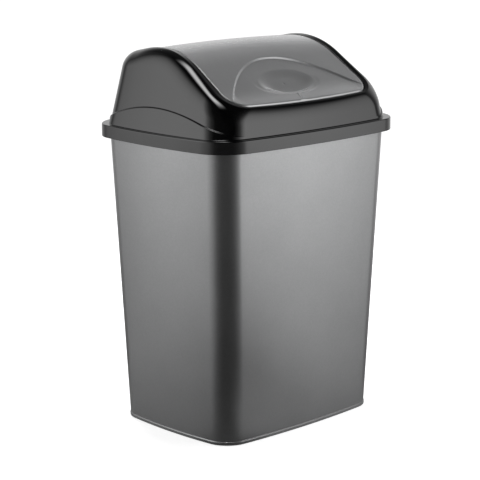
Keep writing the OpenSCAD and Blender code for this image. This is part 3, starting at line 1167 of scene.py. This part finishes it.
    def ear(self, side: Side) -> Thing:
        """Models an ear with its pivot pin.

        Args:
            side: The side that it is on.

        Returns:
            The ear.
        """
        hood = self.hood
        s, y, z = side.value, hood.pivot_y, hood.pivot_z
        outer = hood.lug_x - self.gap - self.ear_in
        round_r = hood.pin_r + self.ear_wall
        ear = rod(round_r, s * (outer - self.ear_t), s * outer, y, z)
        bevel_sharp(ear, FINE)
        head = z + hood.pivot_drop - self.web_top
        size = (self.ear_t - 2 * self.web_in, self.web_w * round_r, head - z)
        middle = (z + head) / 2
        web = box((s * (outer - self.ear_t / 2), y, middle), size)
        slope = math.tan(math.radians(hood.profile.main_slope - self.web_lean))
        for vertex in web.data.vertices:
            if vertex.co.z > middle * MM:
                vertex.co.z += (vertex.co.y - y * MM) * slope
        boolean(ear, web, "UNION")
        pin_end = hood.lug_x + hood.lug_t + OVER
        pin = rod(hood.pin_r, s * (outer - self.pin_root), s * pin_end, y, z)
        bevel_sharp(pin, SOFT)
        boolean(ear, pin, "UNION")
        return settle(ear, f"flap_ear_{side.name.lower()}")

    def make(self) -> None:
        """Builds and dresses the flap."""
        grey = SATIN_GREY.material()
        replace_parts(dress(self.panel(), grey, Body.FLAP), Body.FLAP.value)
        for side in Side:
            dress(self.ear(side), grey, Body.FLAP)


# ---- Studio ----


@dataclass(frozen=True)
class Bearing:
    """A direction from the can. Azimuth 0 is in front, 90 on the right, in degrees."""

    azimuth: float
    elevation: float

    def vector(self) -> Vector:
        """Returns the direction as a vector of length 1."""
        a, e = math.radians(self.azimuth), math.radians(self.elevation)
        return Vector((math.sin(a) * math.cos(e), -math.cos(a) * math.cos(e), math.sin(e)))


@dataclass(frozen=True)
class Softbox:
    """A square softbox that faces the can."""

    name: str
    bearing: Bearing
    distance: float
    width: float
    height: float
    level: float

    def make(self, middle: Vector) -> None:
        """Adds the lamp.

        Args:
            middle: The point that it faces.
        """
        back = self.bearing.vector()
        lamp = bpy.data.lights.new(self.name, "AREA")
        lamp.shape, lamp.size, lamp.size_y = "RECTANGLE", self.width, self.height
        lamp.energy = self.level * math.pi * self.width * self.height
        obj = bpy.data.objects.new(self.name, lamp)
        obj.location = middle + back * self.distance
        obj.rotation_mode = "QUATERNION"
        obj.rotation_quaternion = (-back).to_track_quat("-Z", "Y")
        obj.visible_camera = obj.visible_glossy = False
        bpy.context.scene.collection.objects.link(obj)


@dataclass(frozen=True)
class Shades:
    """A shade for each value of an angle or a distance, with straight steps between them.

    Attributes:
        stops: The values and their shades in turn.
    """

    stops: tuple[float, ...]

    def add(self, graph: Graph, value: object, scale: Callable[[float], float]) -> Socket:
        """Adds the shades to a material.

        Args:
            graph: The material, value: what is looked up, from 0 to 1.
            scale: Turns a stop's angle or distance into that range.

        Returns:
            The shade.
        """
        node = graph.add("ValToRGB", value)
        elements = node.color_ramp.elements
        stops = sorted((scale(at), shade) for at, shade in zip(self.stops[::2], self.stops[1::2]))
        for position, _ in stops[1:-1]:
            elements.new(position)
        for element, (position, shade) in zip(elements, stops):
            element.position, element.color = position, (shade, shade, shade, 1)
        return node.outputs["Color"]


@dataclass(frozen=True)
class Tent:
    """A graded light tent round the can, which only reflections show: a dome and a ground sheet.

    Attributes:
        towards: The bearing of its dark opening, where the camera stands.
        level: How bright its side panels are.
        turns: The dome's shade at angles to the right of that bearing.
        left, right, back: Its shade by elevation on the left, on the right and behind the can.
        behind: Where the back begins, as a share at angles to the right of the opening.
        strip: The bearing of the overhead strip lamp, strip_level: its brightness.
        strip_way: The compass angle that it runs along.
        strip_long, strip_wide: How far from its middle it is full, and where it ends, both ways.
        ground_turns: The sheet's shade at angles to the right of the opening.
        foot_turns: The same close to the can, foot_end: the distances over which that fades.
        reach: The sheet's brightness by the distance from the can, in metres, with a painted shadow close to
            it.
        ground_left: How bright the sheet's left half is beside its right half.
        seam, ground_seam: Where the halves meet, as shares of the whole turn.
        ground_z: The sheet's height, just above the floor.
    """

    towards: Bearing
    radius: float = 8.0
    level: float = 1.5
    turns: Shades = Shades(
        (
            -180, 0.48, -155, 0.46, -140, 0.3, -125, 0.12, -115, 0.35, -105, 0.7, -95, 0.9, -85, 1.02,
            -72, 1.06, -62, 1, -50, 0.5, -38, 0.15, -25, 0.02, 30, 0, 40, 0.06, 50, 0.25, 62, 0.85,
            72, 1.18, 84, 1.08, 95, 0.84, 105, 0.64, 113, 0.1, 124, 0.1, 138, 0.32, 150, 0.46, 180, 0.48,
        )
    )
    left: Shades = Shades(
        (0, 1, 24, 1, 38, 0.95, 48, 0.82, 55, 0.66, 60, 0.42, 64, 0.18, 69, 0.01, 90, 0)
    )
    right: Shades = Shades(
        (0, 1, 12, 1, 18, 0.96, 24, 0.84, 28, 0.66, 32, 0.4, 36, 0.2, 40, 0.08, 46, 0.02, 54, 0, 90, 0)
    )
    back: Shades = Shades(
        (0, 1, 20, 1, 27, 0.8, 32, 0.48, 37, 0.24, 43, 0.12, 52, 0.07, 70, 0.05, 90, 0.02)
    )
    behind: Shades = Shades((-180, 1, -140, 1, -115, 0, 112, 0, 135, 1, 180, 1))
    strip: Bearing = Bearing(-55.3, 81.8)
    strip_level: float = 6.0
    strip_way: float = 164.4
    strip_long: tuple[float, float] = (0.08, 0.42)
    strip_wide: tuple[float, float] = (0.03, 0.17)
    ground_turns: Shades = Shades(
        (
            -180, 0.6, -140, 0.4, -120, 0.3, -112, 0.42, -104, 0.7, -96, 0.88, -84, 1, -72, 0.9, -64, 0.8,
            -56, 0.71, -48, 0.62, -40, 0.48, -32, 0.26, -24, 0.11, -12, 0.06, 20, 0.045, 30, 0.08, 40, 0.16,
            50, 0.29, 58, 0.48, 66, 0.85, 74, 1.02, 82, 1.02, 90, 0.95, 98, 0.8, 106, 0.6, 113, 0.33,
            125, 0.3, 150, 0.5, 180, 0.6,
        )
    )
    foot_turns: Shades = Shades(
        (
            -180, 0.6, -112, 0.5, -96, 0.7, -80, 0.9, -60, 0.95, -40, 0.85, -30, 0.65, -22, 0.36, -12, 0.22,
            0, 0.24, 8, 0.5, 16, 0.72, 30, 0.84, 50, 0.9, 70, 0.9, 90, 0.85, 106, 0.5, 180, 0.6,
        )
    )
    foot_end: tuple[float, float] = (0.1, 0.19)
    # Painted shadow: dark at the can's foot and brighter outward, standing for the can's own shadow on the
    # floor in its reflections.
    reach: Shades = Shades(
        (
            0, 0.2, 0.06, 0.26, 0.11, 0.32, 0.2, 0.43, 0.3, 0.55, 0.42, 0.68, 0.57, 0.82, 0.73, 0.99,
            0.88, 1.19, 1.05, 1.32, 1.6, 1.5,
        )
    )
    ground_left: float = 0.78
    seam: tuple[float, float] = (0.495, 0.505)
    ground_seam: tuple[float, float] = (0.45, 0.55)
    ground_z: float = -0.0002

    def turn(self, paint: Paint) -> Socket:
        """Adds the angle to the right of the tent's opening.

        Args:
            paint: The material.

        Returns:
            The angle, where half a turn either way is spread over 0 to 1.
        """
        ahead = self.towards.vector()
        ahead = Vector((ahead.x, ahead.y, 0)).normalized()
        aside = Vector((-ahead.y, ahead.x, 0))
        angle = paint.math("ARCTAN2", paint.dot(paint.place, aside), paint.dot(paint.place, ahead))
        return paint.ramp(angle, -math.pi, math.pi, 0, 1)

    @staticmethod
    def by_turn(angle: float) -> float:
        """Returns an angle to the right of the opening as a share of the whole turn."""
        return angle / 360 + 0.5

    @staticmethod
    def by_rise(elevation: float) -> float:
        """Returns the height of a point of the dome at an elevation, as a share of its radius."""
        return math.sin(math.radians(elevation))

    def hang(self, obj: Thing, name: str, paint: Paint, glow: Socket) -> None:
        """Gives a sheet of the tent its glow, and leaves it to reflections alone.

        Args:
            obj: The sheet, name: its name, paint: its material, glow: its brightness.
        """
        obj.name = obj.data.name = name
        paint.set(Base_Color=(0, 0, 0, 1), Specular_IOR_Level=0.0)
        paint.set(Emission_Color=(1, 1, 1, 1), Emission_Strength=glow)
        obj.data.materials.append(paint.material)
        obj.visible_camera = obj.visible_diffuse = obj.visible_shadow = obj.visible_transmission = False

    def overhead(self, paint: Paint, way: Socket, rise: Socket) -> Socket:
        """Adds the strip lamp.

        Args:
            paint: The dome's material, way: the way from its middle, rise: that way's Z.

        Returns:
            Its brightness.
        """
        lamp = paint.math("MULTIPLY", paint.math("GREATER_THAN", rise, 0.5), self.strip_level)
        for turned, (full, end) in ((0, self.strip_long), (90, self.strip_wide)):
            axis = Bearing(self.strip_way + turned, 0).vector()
            aside = paint.math("SUBTRACT", paint.dot(way, axis), axis.dot(self.strip.vector()))
            fade = paint.ramp(paint.math("ABSOLUTE", aside), full, end, 1, 0, "SMOOTHSTEP")
            lamp = paint.math("MULTIPLY", lamp, fade)
        return lamp

    def dome(self) -> None:
        """Adds the dome, from the ground up."""
        clear()
        bpy.ops.mesh.primitive_uv_sphere_add(segments=96, ring_count=48, radius=self.radius)
        obj = bpy.context.object
        with editing(obj):
            bpy.ops.mesh.bisect(plane_co=(0, 0, 0), plane_no=(0, 0, 1), clear_inner=True)
        paint = Paint("tent_dome")
        way = paint.add("VectorMath", paint.place, operation="NORMALIZE").outputs["Vector"]
        rise = paint.add("SeparateXYZ", way).outputs["Z"]
        turn = self.turn(paint)
        left, right, back = (s.add(paint, rise, self.by_rise) for s in (self.left, self.right, self.back))
        sides = paint.mix(paint.ramp(turn, *self.seam, 0, 1), left, right)
        up = paint.mix(self.behind.add(paint, turn, self.by_turn), sides, back)
        panels = paint.math("MULTIPLY", self.turns.add(paint, turn, self.by_turn), up)
        lit = paint.math("MULTIPLY", panels, self.level)
        self.hang(obj, "tent_dome", paint, paint.math("ADD", lit, self.overhead(paint, way, rise)))

    def ground(self) -> None:
        """Adds the ground sheet, just above the floor, with a painted shadow of the can round its foot."""
        clear()
        bpy.ops.mesh.primitive_circle_add(
            vertices=96, radius=self.radius, fill_type="TRIFAN", location=(0, 0, self.ground_z)
        )
        obj = settle(bpy.context.object, "tent_ground")
        paint = Paint("tent_ground")
        away = paint.length(paint.place)
        last = self.reach.stops[-2]
        # The shade by distance is painted shadow, darkest at the can's foot.
        shade = self.reach.add(paint, paint.ramp(away, 0, last, 0, 1), lambda distance: distance / last)
        turn = self.turn(paint)
        side = paint.ramp(turn, *self.ground_seam, self.ground_left, 1.0)
        close, wide = (s.add(paint, turn, self.by_turn) for s in (self.foot_turns, self.ground_turns))
        around = paint.math("MULTIPLY", paint.mix(paint.ramp(away, *self.foot_end, 0, 1), close, wide), side)
        self.hang(obj, "tent_ground", paint, paint.math("MULTIPLY", around, shade))


@dataclass
class Studio:
    """The floor, the world, the lamps and the camera, in metres.

    Attributes:
        middle: What the lamps face, aim: what the camera faces.
        camera: The camera's bearing, with its distance, its roll in degrees and its lens.
        ambient: The even light's level.
        floor_near: The floor's brightness by distance: near, far, and what it is there.
    """

    middle: Vector = field(default_factory=lambda: Vector((0, 0, 0.16)))
    aim: Vector = field(default_factory=lambda: Vector((-0.00442, 0.00427, 0.13530)))
    camera: Bearing = Bearing(-44.025, 12.497)
    camera_distance: float = 1.32828
    camera_roll: float = -0.15
    lens: float = 129.074
    ambient: float = 0.10
    floor_z: float = -0.0004
    floor_grey: float = 0.45
    floor_near: tuple[float, ...] = (0.1, 0.4, 0.84, 1.0)
    lamps: tuple[Softbox, ...] = (
        Softbox("left_softbox", Bearing(-130, 15), 1.4, 1.2, 0.9, 1.6),
        Softbox("right_softbox", Bearing(40, 20), 1.4, 1.2, 0.9, 4.2),
        Softbox("top_softbox", Bearing(150, 50), 0.75, 0.5, 0.5, 10.0),
    )

    def floor(self) -> None:
        """Adds the pale floor, which keeps the can's soft shadow."""
        clear()
        bpy.ops.mesh.primitive_plane_add(size=60, location=(0, 0, self.floor_z))
        obj = settle(bpy.context.object, "floor")
        grey = (self.floor_grey,) * 3
        paint = Paint("pale_floor", Base_Color=(*grey, 1), Roughness=0.9, Specular_IOR_Level=0.1)
        near = paint.ramp(paint.length(paint.place), *self.floor_near)
        glow = paint.ramp(paint.seen(), 0, 1, 0, near)
        paint.set(Emission_Color=(1, 1, 1, 1), Emission_Strength=glow)
        obj.data.materials.append(paint.material)

    def world(self) -> None:
        """Adds the world: white behind the can, and a low even light."""
        world = bpy.data.worlds.new("studio")
        bpy.context.scene.world = world
        world.use_nodes = True
        graph = Graph(world.node_tree)
        background = graph.tree.nodes["Background"]
        graph.feed(background.inputs["Color"], (1, 1, 1, 1))
        graph.feed(background.inputs["Strength"], graph.ramp(graph.seen(), 0, 1, self.ambient, 1))

    def shoot(self) -> None:
        """Adds the camera at the photograph's place."""
        back = self.camera.vector()
        azimuth = math.radians(self.camera.azimuth)
        right = Vector((math.cos(azimuth), math.sin(azimuth), 0))
        up = back.cross(right)
        roll = math.radians(self.camera_roll)
        across = right * math.cos(roll) + up * math.sin(roll)
        upward = up * math.cos(roll) - right * math.sin(roll)
        lens = bpy.data.cameras.new("camera")
        lens.lens, lens.sensor_width, lens.sensor_fit = self.lens, 36.0, "AUTO"
        lens.clip_start, lens.clip_end = 0.05, 100.0
        camera = bpy.data.objects.new("camera", lens)
        turn = Matrix((across, upward, back)).transposed().to_4x4()
        camera.matrix_world = Matrix.Translation(self.aim + back * self.camera_distance) @ turn
        bpy.context.scene.collection.objects.link(camera)
        bpy.context.scene.camera = camera

    def make(self) -> None:
        """Builds the whole studio."""
        bpy.context.scene.view_settings.view_transform = "Standard"
        self.shoot()
        self.floor()
        self.world()
        for lamp in self.lamps:
            lamp.make(self.middle)
        tent = Tent(self.camera)
        tent.dome()
        tent.ground()
        log.info("studio ready")


def keep_sizes() -> None:
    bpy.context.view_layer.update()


def main() -> None:
    """Builds the can and its studio."""
    logging.basicConfig(level=logging.INFO, format="%(name)s: %(message)s")
    Studio().make()
    bucket = Bucket()
    bucket.make()
    hood = Hood(bucket)
    hood.make()
    Flap(hood).make()
    keep_sizes()


if __name__ == "__main__":
    main()
